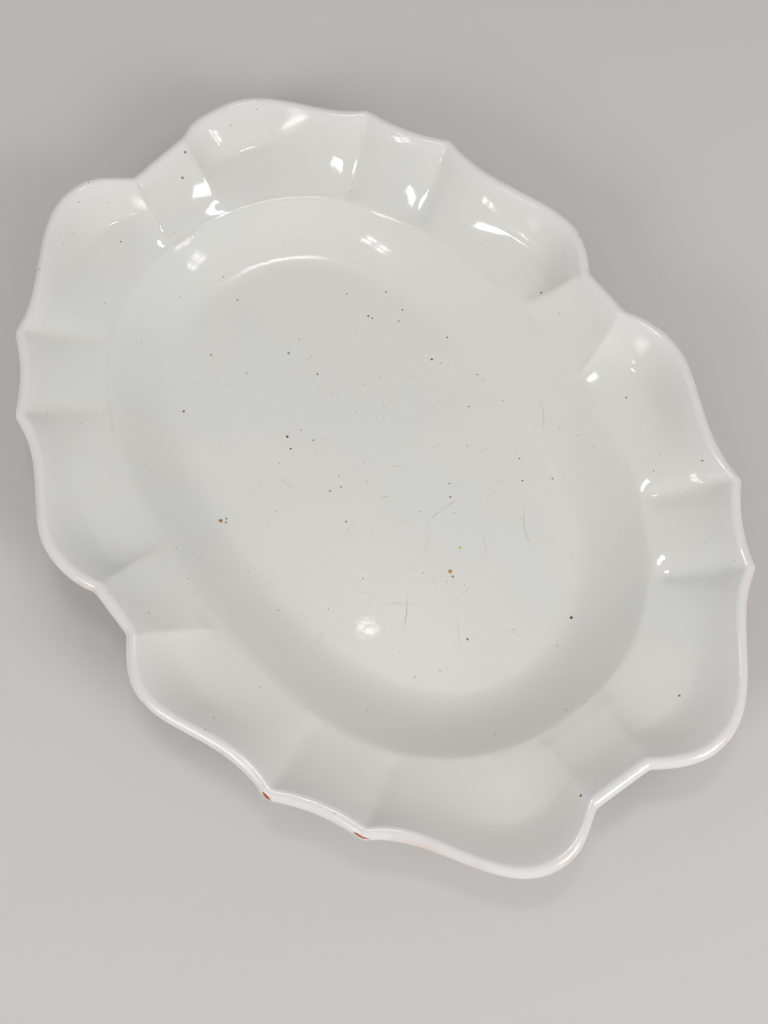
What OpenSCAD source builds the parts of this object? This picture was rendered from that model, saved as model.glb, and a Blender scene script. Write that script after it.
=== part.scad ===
// Lobed oval serving platter in white tin-glazed earthenware, with a shallow oval well,
// a rim of sixteen scooped panels and a low foot ring. Millimetres, +Z up. The origin is on the
// surface that the platter stands on, below the middle of the well. X runs along the length.

/* [Overall] */
// Length over the ears at the two ends
length = 356; // [320:1:400]
// Width over the ears at the two sides
width = 265; // [240:1:300]
// Height of the lip above the surface that the platter stands on
height = 38; // [32:0.5:46]

/* [Rim outline] */
// How far the straight end bands lie inside the ears
end_band_back = 8.5; // [5:0.5:12]
// Length of each end band, from notch to notch
end_band_w = 28; // [20:1:36]
// How far the straight side bands lie inside the ears
side_band_back = 8.5; // [5:0.5:12]
// Length of each side band, from notch to notch
side_band_w = 23; // [16:1:30]
// Distance of an end ear from the long middle line
end_ear_off = 35.5; // [32:0.5:40]
// Distance of a side ear from the short middle line
side_ear_off = 35; // [30:0.5:40]
// How far an end cusp lies back from the end ears
end_cusp_back = 46.5; // [42:0.5:52]
// How far an end cusp lies inside the side ears
end_cusp_in = 38.5; // [34:0.5:42]
// How far a side cusp lies back from the end ears
side_cusp_back = 80; // [75:0.5:86]
// How far a side cusp lies inside the side ears
side_cusp_in = 18; // [14:0.5:22]
// Inward sag of the short diagonal panels between two cusps
diagonal_sag = 2.5; // [0:0.5:5]
// Angle at which a lobe's edge leaves its notch, from the band beside it
notch_angle = 35; // [25:1:45]
// Reach of the ear's curve from its notch
notch_pull = 10.5; // [8:0.5:13]
// Reach of the ear's curve back from its outermost point
ear_pull = 7.5; // [5:0.5:10]
// Reach of an end lobe's sweep from its ear towards the cusp
end_sweep = 28; // [22:1:32]
// Reach of a side lobe's sweep from its ear towards the cusp
side_sweep = 18.5; // [14:0.5:24]
// Reach of the sweep back from the cusp
cusp_pull = 27; // [22:1:32]
// Slant at which an end lobe meets its cusp, from the short middle line
end_cusp_slant = 26; // [20:1:32]
// Slant at which a side lobe meets its cusp, from the long middle line
side_cusp_slant = -3; // [-8:1:6]
// One step of the drift that hand pressing gave to the corners of the outline
hand_drift = 1; // [0:0.1:1.5]

/* [Rim relief] */
// Rise of the rim from the edge of the well to the lip
rim_rise = 13.5; // [10:0.5:17]
// Depth of the spoon-shaped bowl in a lobe, beside its ear
ear_dip = 3.25; // [1:0.25:4]
// Swelling of a diagonal panel between its two cusps
diagonal_swell = 0.3; // [0:0.1:1]
// Depth of the hollow in a straight band
band_dip = 0.4; // [0:0.1:1]
// Depth of the pressed crease that runs in from a cusp
cusp_groove = 1.2; // [0:0.1:2]
// Height of the crest that runs in from a notch
notch_crest = 0.9; // [0:0.1:2]
// Distance along the lip in which a crease or a crest dies away
crease_reach = 6; // [3:0.5:10]
// Angle of the ridges beside an end band, where they meet the well
end_ridge_angle = 7; // [5:0.5:12]
// Angle of the ridges of the end cusps, where they meet the well
end_cusp_angle = 30; // [26:0.5:34]
// Angle of the ridges of the side cusps, where they meet the well
side_cusp_angle = 45; // [41:0.5:50]
// Angle of the ridges beside a side band, where they meet the well
side_ridge_angle = 77.5; // [72:0.5:82]

/* [Well] */
// Breadth of the rim at the ends, from the edge of the well to the ears
rim_end_w = 43; // [36:0.5:50]
// Breadth of the rim at the sides, from the edge of the well to the ears
rim_side_w = 39.5; // [34:0.5:46]
// Fullness of the oval: 2 is an ellipse, more is squarer
oval_power = 2.3; // [2:0.05:2.6]
// Breadth of the sloping wall of the well, seen from above
wall_run = 28.5; // [22:0.5:34]
// Reach of the hollow curve from the floor up into the wall
floor_blend = 9.5; // [5:0.5:14]
// Reach of the rounded edge between the wall and the rim
shoulder_blend = 2.5; // [1:0.5:6]

/* [Clay and glaze] */
// Thickness of the clay in the floor
floor_t = 6; // [4:0.25:9]
// Thickness of the clay in the rim
rim_t = 5.5; // [4:0.25:7]
// Thickness of the glaze, front and back
glaze_t = 0.6; // [0.3:0.05:1]

/* [Foot] */
// Height of the foot ring below the clay of the base
foot_h = 4; // [2:0.25:6]
// Width of the foot ring
foot_w = 6; // [4:0.5:10]
// How far the foot ring lies inside the edge of the flat base
foot_in = 4; // [2:0.5:12]

/* [Hidden] */

// The well and the levels of the glazed front
well_a = length / 2 - rim_end_w;
well_b = width / 2 - rim_side_w;
floor_z = foot_h + floor_t + glaze_t;
well_z = height - rim_rise;
wall_h = well_z - floor_z;
lip_r = rim_t / 2 + glaze_t;

// Corners of the true quarter outline: end notch, end cusp, side cusp and side notch
quarter = [
    [length / 2 - end_band_back, end_band_w / 2],
    [length / 2 - end_cusp_back, width / 2 - end_cusp_in],
    [length / 2 - side_cusp_back, width / 2 - side_cusp_in],
    [side_band_w / 2, width / 2 - side_band_back]
];

// How many steps of drift the corners of each quarter stray outward from their true places
stray = [
    [[-1, -3], [0, 1], [1.5, 0.5], [0, 0.5]],
    [[4, 2], [6, -1], [4.5, 0], [0.5, -0.5]],
    [[-2.5, 0], [-3, 1.5], [-3.5, 0], [-2, 1]],
    [[-1, 0.5], [-3, -2], [-2, -1], [1, -0.5]]
];
quarter_sign = [[1, 1], [-1, 1], [-1, -1], [1, -1]];
ridge_angle = [end_ridge_angle, end_cusp_angle, side_cusp_angle, side_ridge_angle];

// Sixteen panels in turn from the first end notch, with the steps that each one takes
panel_kind = ["end lobe", "diagonal", "side lobe", "band", "side lobe", "diagonal", "end lobe", "band"];
function steps(kind) = kind == "band" ? 2 : kind == "diagonal" ? 4 : 10;

// In odd quarters the corners come in the opposite order
function corner_no(i) = floor(i / 4) % 2 == 0 ? i % 4 : 3 - i % 4;
function flat_corner(i) =
    quarter[corner_no(i % 16)] + hand_drift * stray[floor((i % 16) / 4)][corner_no(i % 16)];
function signed(p, q) = [p.x * quarter_sign[q].x, p.y * quarter_sign[q].y];
function corner(i) = signed(flat_corner(i), floor((i % 16) / 4));
function corner_angle(i) =
    let (q = floor(i / 4), a = ridge_angle[corner_no(i % 16)])
    q % 2 == 0 ? 90 * q + a : 90 * (q + 1) - a;

function bezier(a, b, c, d, t) =
    pow(1 - t, 3) * a + 3 * pow(1 - t, 2) * t * b + 3 * (1 - t) * t * t * c + t * t * t * d;

// A lobe's edge in the positive quarter, from its notch at t = 0 by the ear to its cusp at t = 1
ear_at = 1 / 3;
function lobe_edge(notch, ear, cusp, along, out, sweep, slant, t) =
    t < ear_at
    ? bezier(notch, notch + notch_pull * (cos(notch_angle) * along + sin(notch_angle) * out),
             ear - ear_pull * along, ear, t / ear_at)
    : bezier(ear, ear + sweep * along,
             cusp - cusp_pull * (cos(slant) * along - sin(slant) * out), cusp,
             (t - ear_at) / (1 - ear_at));
function end_lobe(notch, cusp, t) =
    lobe_edge(notch, [length / 2, end_ear_off], cusp, [0, 1], [1, 0], end_sweep, end_cusp_slant, t);
function side_lobe(notch, cusp, t) =
    lobe_edge(notch, [side_ear_off, width / 2], cusp, [1, 0], [0, 1], side_sweep, side_cusp_slant, t);

// Point s of the way along panel i of the lip's outline, seen from above
function lip_point(i, s) =
    let (kind = panel_kind[i % 8], q = floor(i / 4), from_notch = i % 8 == 0 || i % 8 == 4)
    let (notch = flat_corner(from_notch ? i : i + 1), cusp = flat_corner(from_notch ? i + 1 : i))
    let (t = from_notch ? s : 1 - s, chord = corner(i + 1) - corner(i))
    kind == "end lobe" ? signed(end_lobe(notch, cusp, t), q)
    : kind == "side lobe" ? signed(side_lobe(notch, cusp, t), q)
    : kind == "band" ? corner(i) + s * chord
    : corner(i) + s * chord + 4 * s * (1 - s) * diagonal_sag * [-chord.y, chord.x] / norm(chord);

// Dip across a panel: a lobe falls from its notch into the ear's bowl and climbs slowly to its cusp
function smooth(t) = t * t * (3 - 2 * t);
ear_valley = 0.3;
ear_end = 0.85;
function lobe_share(t) =
    t < ear_valley ? 1 - pow(1 - t / ear_valley, 2)
    : t < ear_end ? 1 - smooth((t - ear_valley) / (ear_end - ear_valley))
    : 0;
function panel_dip(i, s) =
    let (kind = panel_kind[i % 8], from_notch = i % 8 == 0 || i % 8 == 4)
    kind == "band" ? 4 * s * (1 - s) * band_dip
    : kind == "diagonal" ? -4 * s * (1 - s) * diagonal_swell
    : ear_dip * lobe_share(from_notch ? s : 1 - s);

// Crease across a panel, which dies away from the cusps and, as a crest, from the notches
function corner_crease(i) = corner_no(i % 16) == 1 || corner_no(i % 16) == 2 ? cusp_groove : -notch_crest;
function panel_crease(i, s) =
    let (p = lip_point(i, s))
    corner_crease(i) * exp(-norm(p - corner(i)) / crease_reach)
    + corner_crease(i + 1) * exp(-norm(p - corner(i + 1)) / crease_reach);

// Point of an oval with half axes a and b, in the direction of an angle
function oval(a, b, angle) =
    [cos(angle), sin(angle)]
    / pow(pow(abs(cos(angle)) / a, oval_power) + pow(abs(sin(angle)) / b, oval_power), 1 / oval_power);
function well_angle(i, s) = corner_angle(i) + s * (corner_angle_after(i) - corner_angle(i));
function corner_angle_after(i) = i == 15 ? 360 + corner_angle(0) : corner_angle(i + 1);

// Stations around the platter, each a panel and a place along it
stations = [for (i = [0:15]) let (n = steps(panel_kind[i % 8])) for (j = [0:n - 1]) [i, j / n]];
around = len(stations);
lip_line = [for (p = stations) lip_point(p[0], p[1])];
dip_line = [for (p = stations) panel_dip(p[0], p[1])];
crease_line = [for (p = stations) panel_crease(p[0], p[1])];
well_line = [for (p = stations) oval(well_a, well_b, well_angle(p[0], p[1]))];
floor_line = [for (p = stations) oval(well_a - wall_run, well_b - wall_run, well_angle(p[0], p[1]))];
function foot_line(inset) =
    [for (p = stations) oval(well_a - wall_run - inset, well_b - wall_run - inset, well_angle(p[0], p[1]))];
function outward(k) = (lip_line[k] - well_line[k]) / norm(lip_line[k] - well_line[k]);
crest_line = [for (k = [0:around - 1]) lip_line[k] - lip_r * outward(k)];

// The rim climbs on a hollow cove. Its bowls are deepest at bowl_at, and its creases run all the way.
cove_start = 0.5;
cove_power = 2.2;
bowl_at = 0.62;
function cove(r) = cove_start * r + (1 - cove_start) * pow(r, cove_power);
function fade(r, start, end) = 1 - smooth(min(max((r - start) / (end - start), 0), 1));
function hollow(r) = pow(min(r / bowl_at, 1), 1.4) * fade(r, bowl_at, 1);
function creased(r) = (1 - fade(r, 0, 0.22)) * fade(r, 0.75, 1);
function rim_length(k) = norm(crest_line[k] - well_line[k]);

// The front along one station, without the lip's bead: the wall for u from 0 to 1, the rim from 1 to 2
function wall_profile(k, t) =
    let (slope = rim_rise * cove_start / rim_length(k))
    bezier([0, 0], [floor_blend, 0],
           [wall_run, wall_h] - shoulder_blend * [1, slope] / norm([1, slope]), [wall_run, wall_h], t);
function wall_front(k, t) =
    let (p = wall_profile(k, t), place = floor_line[k] + (well_line[k] - floor_line[k]) * p.x / wall_run)
    [place.x, place.y, floor_z + p.y];
function rim_front(k, r) =
    let (place = well_line[k] + r * (crest_line[k] - well_line[k]))
    [place.x, place.y, well_z + rim_rise * cove(r) - dip_line[k] * hollow(r) - crease_line[k] * creased(r)];
function front(k, u) = u <= 1 ? wall_front(k, u) : rim_front(k, u - 1);

// The round bead of the lip stands above the rim close to its crest
function bead_level(k, r) =
    let (inside = (1 - r) * rim_length(k))
    inside < lip_r ? height - lip_r + sqrt(lip_r * lip_r - inside * inside) : 0;
function beaded_front(k, u) =
    let (p = front(k, u))
    u <= 1 ? p : [p.x, p.y, max(p.z, bead_level(k, u - 1))];

// Upward direction square to the front, in the upright plane of the station
sample = 0.01;
function square_up(k, u) =
    u <= 0 || u >= 2 ? [0, 0, 1]
    : let (d = front(k, u + sample) - front(k, u - sample), run = norm([d.x, d.y]))
      [-d.x * d.z / run, -d.y * d.z / run, run] / norm(d);

// Rings of points around the platter: at a depth below the front, or round the lip's edge
function clay_t(u) = floor_t + (rim_t - floor_t) * min(u, 1);
function front_ring(u, depth) = [for (k = [0:around - 1]) beaded_front(k, u) - depth * square_up(k, u)];
function back_ring(u, depth) = [for (k = [0:around - 1]) front(k, u) - depth * square_up(k, u)];
function lip_ring(angle, radius) =
    [for (k = [0:around - 1])
        let (place = crest_line[k] + radius * cos(angle) * outward(k))
        [place.x, place.y, height - lip_r + radius * sin(angle)]];
function foot_ring_points(inset, z) = [for (p = foot_line(inset)) [p.x, p.y, z]];

// Places of the rings, from the floor to the lip
front_places = [0, 0.12, 0.3, 0.55, 0.8, 1, 1.1, 1.25, 1.45, 1.65, 1.82, 1.915, 1.96, 2];
back_places = [0, 0.3, 0.6, 0.85, 1, 1.3, 1.6, 1.82];
front_turn = [45, 0];
back_turn = [0, -45, -90];
clay_lip_r = lip_r - glaze_t;

function reversed(list) = [for (i = [len(list) - 1:-1:0]) list[i]];
function flat_list(rings) = [for (ring = rings) each ring];
// Triangles between two neighbouring rings. A skin's inner side runs the other way, so there they
// split along the other diagonal, and the skin fits the clay face to face.
function band_faces(lower, upper, inner) =
    [for (k = [0:around - 1])
        let (a = lower * around, b = upper * around, next = (k + 1) % around)
        each inner
        ? [[a + k, a + next, b + k], [a + next, b + next, b + k]]
        : [[a + k, b + next, b + k], [a + k, a + next, b + next]]];

// A closed solid from a pile of outer and inner rings, with a flat face over its first and last ring
module capped_skin(outer_rings, inner_rings) {
    rings = concat(outer_rings, inner_rings);
    last = len(rings) - 1;
    polyhedron(
        points = flat_list(rings),
        faces = concat(
            [[for (k = [around - 1:-1:0]) k]],
            [for (r = [0:last - 1]) each band_faces(r, r + 1, r >= len(outer_rings))],
            [[for (k = [0:around - 1]) last * around + k]]),
        convexity = 10);
}

// A closed solid from a loop of outer and inner rings, whose last ring joins the first
module looped_skin(outer_rings, inner_rings) {
    rings = concat(outer_rings, inner_rings);
    count = len(rings);
    polyhedron(
        points = flat_list(rings),
        faces = [for (r = [0:count - 1]) each band_faces(r, (r + 1) % count, r >= len(outer_rings))],
        convexity = 10);
}

clay_front = concat(
    [for (u = front_places) front_ring(u, glaze_t)],
    [for (angle = front_turn) lip_ring(angle, clay_lip_r)]);
clay_back = concat(
    [for (angle = back_turn) lip_ring(angle, clay_lip_r)],
    [for (u = reversed(back_places)) back_ring(u, glaze_t + clay_t(u))]);
glazed_front = concat(
    [for (u = front_places) front_ring(u, 0)],
    [for (angle = front_turn) lip_ring(angle, lip_r)]);
glazed_back = concat(
    [for (angle = back_turn) lip_ring(angle, lip_r)],
    [for (u = reversed(back_places)) back_ring(u, 2 * glaze_t + clay_t(u))],
    [foot_ring_points(foot_in, foot_h - glaze_t)]);

// The pressed earthenware slab, from the floor over the rim and back under to the flat base
module clay_body() {
    color("sienna")
    capped_skin(concat(clay_front, [for (i = [1:len(clay_back) - 1]) clay_back[i]]), []);
}

// The oval coil of clay under the base, which the platter stands on
module foot_ring() {
    color("peru")
    linear_extrude(height = foot_h)
    difference() {
        polygon(foot_line(foot_in));
        polygon(foot_line(foot_in + foot_w));
    }
}

// The opaque white glaze over the front, from the floor to the outermost line of the lip
module front_glaze() {
    color("ghostwhite")
    capped_skin(glazed_front, reversed(clay_front));
}

// The glaze under the rim and the base, which stops at both sides of the foot ring
module back_glaze() {
    color("gainsboro") {
        looped_skin(glazed_back, reversed(concat(clay_back, [foot_ring_points(foot_in, foot_h)])));
        translate([0, 0, foot_h - glaze_t])
        linear_extrude(height = glaze_t)
        polygon(foot_line(foot_in + foot_w));
    }
}

clay_body();
foot_ring();
front_glaze();
back_glaze();
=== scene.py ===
# %% [markdown]
# # A lobed oval platter in white tin glaze
# The real object is a pressed earthenware dish, dipped in an opaque white glaze. Sixteen scooped panels
# run round its rim, and old knocks along the lip show the red clay. The CAD frame gives the place and
# the size of every piece, so the first step loads it.

import math

import bmesh
import bpy
import numpy as np
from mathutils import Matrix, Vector, noise


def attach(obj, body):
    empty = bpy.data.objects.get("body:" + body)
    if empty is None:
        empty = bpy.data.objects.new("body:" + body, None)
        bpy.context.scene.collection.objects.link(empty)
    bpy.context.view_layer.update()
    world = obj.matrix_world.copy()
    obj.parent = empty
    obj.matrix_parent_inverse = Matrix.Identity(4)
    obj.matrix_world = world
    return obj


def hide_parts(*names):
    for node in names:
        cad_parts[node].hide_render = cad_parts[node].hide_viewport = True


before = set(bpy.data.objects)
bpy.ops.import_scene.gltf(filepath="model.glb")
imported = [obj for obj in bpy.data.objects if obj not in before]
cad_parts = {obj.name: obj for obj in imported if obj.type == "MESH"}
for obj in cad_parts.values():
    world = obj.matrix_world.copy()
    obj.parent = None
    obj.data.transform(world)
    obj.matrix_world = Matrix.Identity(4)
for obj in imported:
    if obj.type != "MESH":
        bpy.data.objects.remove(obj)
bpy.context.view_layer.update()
MM = 0.001

# %% [markdown]
# ## Sizes
# These are the driving sizes of the dish, in metres. Everything else in the lesson is worked out from
# them: the outline from the corners of one quarter, and the section from the levels of floor and rim.

# %% Sizes of the dish
LENGTH = 356 * MM
WIDTH = 265 * MM
HEIGHT = 38 * MM
RIM_RISE = 13.5 * MM
RIM_AT_ENDS = 43 * MM
RIM_AT_SIDES = 39.5 * MM
WALL_RUN = 28.5 * MM
FLOOR_BLEND = 12 * MM
FLOOR_DOME = 1.5 * MM
FLOOR_CLAY = 6 * MM
RIM_CLAY = 5.5 * MM
GLAZE = 0.6 * MM
FOOT_HEIGHT = 4 * MM
FOOT_WIDTH = 6 * MM
FOOT_INSET = 4 * MM

HALF_SIZE = np.array([LENGTH, WIDTH]) / 2
WELL_HALF = HALF_SIZE - np.array([RIM_AT_ENDS, RIM_AT_SIDES])
FLOOR_HALF = WELL_HALF - WALL_RUN
WELL_LEVEL = HEIGHT - RIM_RISE
FLOOR_LEVEL = FOOT_HEIGHT + FLOOR_CLAY + GLAZE
LIP_RADIUS = RIM_CLAY / 2 + GLAZE
print("Well edge, mm:", np.round(2 * WELL_HALF / MM, 1), "floor level, mm:", round(FLOOR_LEVEL / MM, 2))

# %% [markdown]
# ## The corners of the lip
# Seen from above, the lip is a ring of sixteen panels between sixteen corners: eight notches, where a band
# meets a lobe, and eight cusps, where a lobe meets a diagonal. The corners could be traced one by one, but
# the maker's mould was symmetric, so one quarter is given here, with the small drifts that hand pressing
# gave to each corner. From every corner a ridge runs down to the edge of the well.

# %% Corners
CORNERS = 16
PER_QUARTER = CORNERS // 4
BAND_SETBACK = 8.5 * MM
END_BAND_HALF = 14 * MM
SIDE_BAND_HALF = 11.5 * MM
END_CUSP_SETBACK = np.array([46.5, 38.5]) * MM
SIDE_CUSP_SETBACK = np.array([80, 18]) * MM
QUARTER = np.array([
    [HALF_SIZE[0] - BAND_SETBACK, END_BAND_HALF],
    HALF_SIZE - END_CUSP_SETBACK,
    HALF_SIZE - SIDE_CUSP_SETBACK,
    [SIDE_BAND_HALF, HALF_SIZE[1] - BAND_SETBACK],
])
QUARTER_SIGN = np.array([[1, 1], [-1, 1], [-1, -1], [1, -1]])
STRAY = MM * np.array([
    [[-1, -3], [0, 1], [1.5, 0.5], [0, 0.5]],
    [[4, 2], [6, -1], [4.5, 0], [0.5, -0.5]],
    [[-2.5, 0], [-3, 1.5], [-3.5, 0], [-2, 1]],
    [[-1, 0.5], [-3, -2], [-2, -1], [1, -0.5]],
])
RIDGE_ANGLE = [7, 30, 45, 77.3]
RIDGE_DRIFT = {7: -1.5, 11: 3.2, 12: -3.8, 15: -1.2}


def corner_number(i):
    """Which corner of its quarter corner i is: odd quarters run the other way round."""
    quarter, number = divmod(i % CORNERS, PER_QUARTER)
    return number if quarter % 2 == 0 else PER_QUARTER - 1 - number


def is_cusp(i):
    """Whether corner i is a cusp, beside a diagonal, and not a notch, beside a band."""
    return corner_number(i) in (1, 2)


def quarter_corner(i):
    """Corner i as if it lay in the first quarter."""
    return QUARTER[corner_number(i)] + STRAY[i % CORNERS // PER_QUARTER][corner_number(i)]


def corner(i):
    """Corner i in its own quarter."""
    return quarter_corner(i) * QUARTER_SIGN[i % CORNERS // PER_QUARTER]


def ridge_angle(i):
    """Direction, in degrees, in which the ridge from corner i meets the well."""
    turn, inner = divmod(i, CORNERS)
    quarter = inner // PER_QUARTER
    angle = RIDGE_ANGLE[corner_number(inner)] + RIDGE_DRIFT.get(inner, 0)
    return 360 * turn + (90 * quarter + angle if quarter % 2 == 0 else 90 * (quarter + 1) - angle)


print("Corners, mm:", [tuple(np.round(corner(i) / MM).astype(int)) for i in range(CORNERS)])

# %% [markdown]
# ## The panels between the corners
# A lobe leaves its notch, swells round a spoon-shaped ear and runs out to its cusp. The bands are straight
# and the diagonals sag a little. A curve object could draw this edge, but a formula gives it at any
# spacing, so that every piece can follow the same points: two cubic curves make a lobe, and a chord makes
# the rest. Each panel is also scooped below a plain rim, deepest in the ears, and some ears are shallower.

# %% Lobes
LOBES = {
    "end lobe": dict(
        ear=np.array([HALF_SIZE[0], 35.5 * MM]), along=np.array([0, 1]), out=np.array([1, 0]),
        sweep=28 * MM, slant=math.radians(26)),
    "side lobe": dict(
        ear=np.array([35 * MM, HALF_SIZE[1]]), along=np.array([1, 0]), out=np.array([0, 1]),
        sweep=18.5 * MM, slant=math.radians(-3)),
}
NOTCH_ANGLE = math.radians(35)
NOTCH_PULL = 10.5 * MM
EAR_PULL = 7.5 * MM
CUSP_PULL = 27 * MM
EAR_AT = 1 / 3


def bezier(a, b, c, d, t):
    """Points of a cubic curve from a to d, drawn towards b and c."""
    t = t[:, None]
    return (1 - t) ** 3 * a + 3 * (1 - t) ** 2 * t * b + 3 * (1 - t) * t**2 * c + t**3 * d


def lobe_edge(notch, cusp, t, ear, along, out, sweep, slant):
    """A lobe's edge from its notch, round the ear, to its cusp."""
    leave = math.cos(NOTCH_ANGLE) * along + math.sin(NOTCH_ANGLE) * out
    arrive = math.cos(slant) * along - math.sin(slant) * out
    near = bezier(notch, notch + NOTCH_PULL * leave, ear - EAR_PULL * along, ear, np.clip(t / EAR_AT, 0, 1))
    far = bezier(ear, ear + sweep * along, cusp - CUSP_PULL * arrive, cusp,
                 np.clip((t - EAR_AT) / (1 - EAR_AT), 0, 1))
    return np.where((t < EAR_AT)[:, None], near, far)


print("Ears, mm:", {kind: np.round(lobe["ear"] / MM, 1).tolist() for kind, lobe in LOBES.items()})

# %% Edges of the panels
PANEL_KINDS = ["end lobe", "diagonal", "side lobe", "band", "side lobe", "diagonal", "end lobe", "band"]
DIAGONAL_SAG = 2.5 * MM


def panel_kind(i):
    """What the panel after corner i is."""
    return PANEL_KINDS[i % len(PANEL_KINDS)]


def from_notch(i, s):
    """Places along lobe i, counted from its notch instead of its first corner."""
    return 1 - s if is_cusp(i) else s


def arch(s):
    """0 at both ends of a panel and 1 in its middle."""
    return 4 * s * (1 - s)


def panel_edge(i, s):
    """Lip points of panel i at the places s from 0 to 1."""
    if panel_kind(i) in LOBES:
        notch, cusp = (i + 1, i) if is_cusp(i) else (i, i + 1)
        ends = quarter_corner(notch), quarter_corner(cusp)
        return lobe_edge(*ends, from_notch(i, s), **LOBES[panel_kind(i)]) * QUARTER_SIGN[i // PER_QUARTER]
    chord = corner(i + 1) - corner(i)
    square = np.array([-chord[1], chord[0]]) / np.hypot(*chord)
    sag = DIAGONAL_SAG if panel_kind(i) == "diagonal" else 0
    return corner(i) + s[:, None] * chord + (arch(s) * sag)[:, None] * square


def panel_angle(i, s):
    """Directions, in degrees, in which panel i meets the well."""
    return ridge_angle(i) + s * (ridge_angle(i + 1) - ridge_angle(i))


print("Panels:", CORNERS, "of the kinds", sorted(set(PANEL_KINDS)))

# %% Scoops of the panels
EAR_DEPTH = 3.4 * MM
SHALLOW_EARS = {0: 1.9 * MM, 8: 3 * MM, 10: 2.4 * MM, 12: 1.9 * MM, 14: 1.9 * MM}
EAR_VALLEY = 0.3
EAR_END = 0.85
DIAGONAL_SWELL = 0.3 * MM
BAND_DIP = 0.4 * MM


def eased(t):
    """An S-shaped rise from 0 to 1."""
    t = np.clip(t, 0, 1)
    return t * t * (3 - 2 * t)


def lobe_scoop(t):
    """A lobe falls from its notch into the ear's bowl and climbs slowly out of it towards its cusp."""
    into_bowl = 1 - (1 - t / EAR_VALLEY) ** 2
    out_of_bowl = 1 - eased((t - EAR_VALLEY) / (EAR_END - EAR_VALLEY))
    return np.where(t < EAR_VALLEY, into_bowl, out_of_bowl)


def panel_scoop(i, s):
    """How far panel i dips below a plain rim at the places s."""
    if panel_kind(i) in LOBES:
        return lobe_scoop(from_notch(i, s)) * SHALLOW_EARS.get(i, EAR_DEPTH)
    return arch(s) * (-DIAGONAL_SWELL if panel_kind(i) == "diagonal" else BAND_DIP)


print("Deepest ear, mm:", EAR_DEPTH / MM, "and the shallowest:", min(SHALLOW_EARS.values()) / MM)

# %% [markdown]
# ## Softening the corners
# Glaze rounds every edge, so the sharp corners of the rule are softened along the lip with a Gaussian
# filter. Smoothing the finished mesh would do it too, but would also wear down what should stay crisp. The
# lip is a closed loop, and there the filter is one line with a Fourier transform.

# %% The lip as one closed loop
FINE_STEPS = 200
LOOP_SAMPLES = 4096

fine_places = np.arange(FINE_STEPS) / FINE_STEPS
fine_lip, fine_dip, fine_angle = (
    np.concatenate([rule(i, fine_places) for i in range(CORNERS)])
    for rule in (panel_edge, panel_scoop, panel_angle))
fine_gaps = np.hypot(*(np.roll(fine_lip, -1, axis=0) - fine_lip).T)
fine_run = np.concatenate([[0], np.cumsum(fine_gaps)])
perimeter = fine_run[-1]
corner_run = fine_run[np.arange(CORNERS) * FINE_STEPS]
even_run = np.arange(LOOP_SAMPLES) / LOOP_SAMPLES * perimeter


def closed(values, step=0):
    """A loop's values with its first one repeated at the end, plus what a full turn adds."""
    return np.append(values, values[0] + step)


def softened(values, spread):
    """Values round the loop, blurred over a distance."""
    even = np.interp(even_run, fine_run, closed(values))
    waves = np.fft.rfftfreq(LOOP_SAMPLES, perimeter / LOOP_SAMPLES)
    return np.fft.irfft(np.fft.rfft(even) * np.exp(-2 * (math.pi * waves * spread) ** 2), LOOP_SAMPLES)


def gap_to(corners, run):
    """Distance along the lip from each place to the nearest of some corners."""
    gap = np.abs(run[:, None] - corner_run[corners][None, :])
    return np.minimum(gap, perimeter - gap).min(axis=1)


print("Outline, mm:", np.round(np.ptp(fine_lip, axis=0) / MM, 1), "perimeter:", round(perimeter / MM))

# %% [markdown]
# ## Stations
# The mesh gets its vertices at stations round the lip. Even steps would be simplest, but the surface turns
# fastest at the ridges, so the stations of each panel crowd towards its two corners.

# %% Stations round the dish
PANEL_STEPS = {"end lobe": 48, "side lobe": 48, "diagonal": 22, "band": 14}
CROWDING = 0.11

station_run = []
for i in range(CORNERS):
    count = PANEL_STEPS[panel_kind(i)]
    even = np.arange(count) / count
    crowded = even - CROWDING * np.sin(2 * math.pi * even)
    station_run.extend(np.interp((i + crowded) * FINE_STEPS, np.arange(len(fine_run)), fine_run))
station_run = np.array(station_run)
AROUND = len(station_run)


def at_stations(values, step=0):
    """Values of the even loop, read at the stations."""
    return np.interp(station_run, np.append(even_run, perimeter), closed(values, step))


even_angle = np.interp(even_run, fine_run, closed(fine_angle, 360))
station_angle = np.radians(at_stations(even_angle, 360))
print("Stations:", AROUND)

# %% [markdown]
# ## Lip, crests and grooves
# Where two panels meet, the clay stands up in a thin crest at a notch and sinks into a groove at a cusp.
# Both could be sculpted, but as heights along the loop they follow the lip by themselves, and one rule
# fades them across the rim. A cusp is sharp only at the lip: further in, the rim follows a softer line.
# The nearest cusps are worn, so their grooves are shallower. Two of them get tan stain and painted shade.

# %% Lip, crests and grooves at the stations
LIP_SOFTNESS = 1.1 * MM
RIDGE_SOFTNESS = 0.9 * MM
CUSP_SOFTNESS = 5 * MM
CUSP_REACH = 14 * MM
CUSP_GROOVE = 1.1 * MM
GROOVE_REACH = 6.5 * MM
WORN_GROOVES = {9: 0.4, 10: 0.4, 13: 0.5, 14: 0.5}
NOTCH_CREST = 0.9 * MM
CREST_REACH = 6 * MM
# Two cusps where tan is painted: partly real stain, partly painted shade along their softened grooves.
CUSPS_WITH_STAIN_AND_SHADE = [9, 10]
STAIN_AND_SHADE_REACH = 4.5 * MM
CUSPS = [i for i in range(CORNERS) if is_cusp(i)]
NOTCHES = [i for i in range(CORNERS) if not is_cusp(i)]


def bell(gap, reach):
    """1 at no distance, fading away over a reach."""
    return np.exp(-(gap / reach) ** 2)


def softened_lip(spread):
    """The lip at the stations, blurred over a distance."""
    return np.stack([at_stations(softened(fine_lip[:, axis], spread)) for axis in (0, 1)], axis=1)


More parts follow.
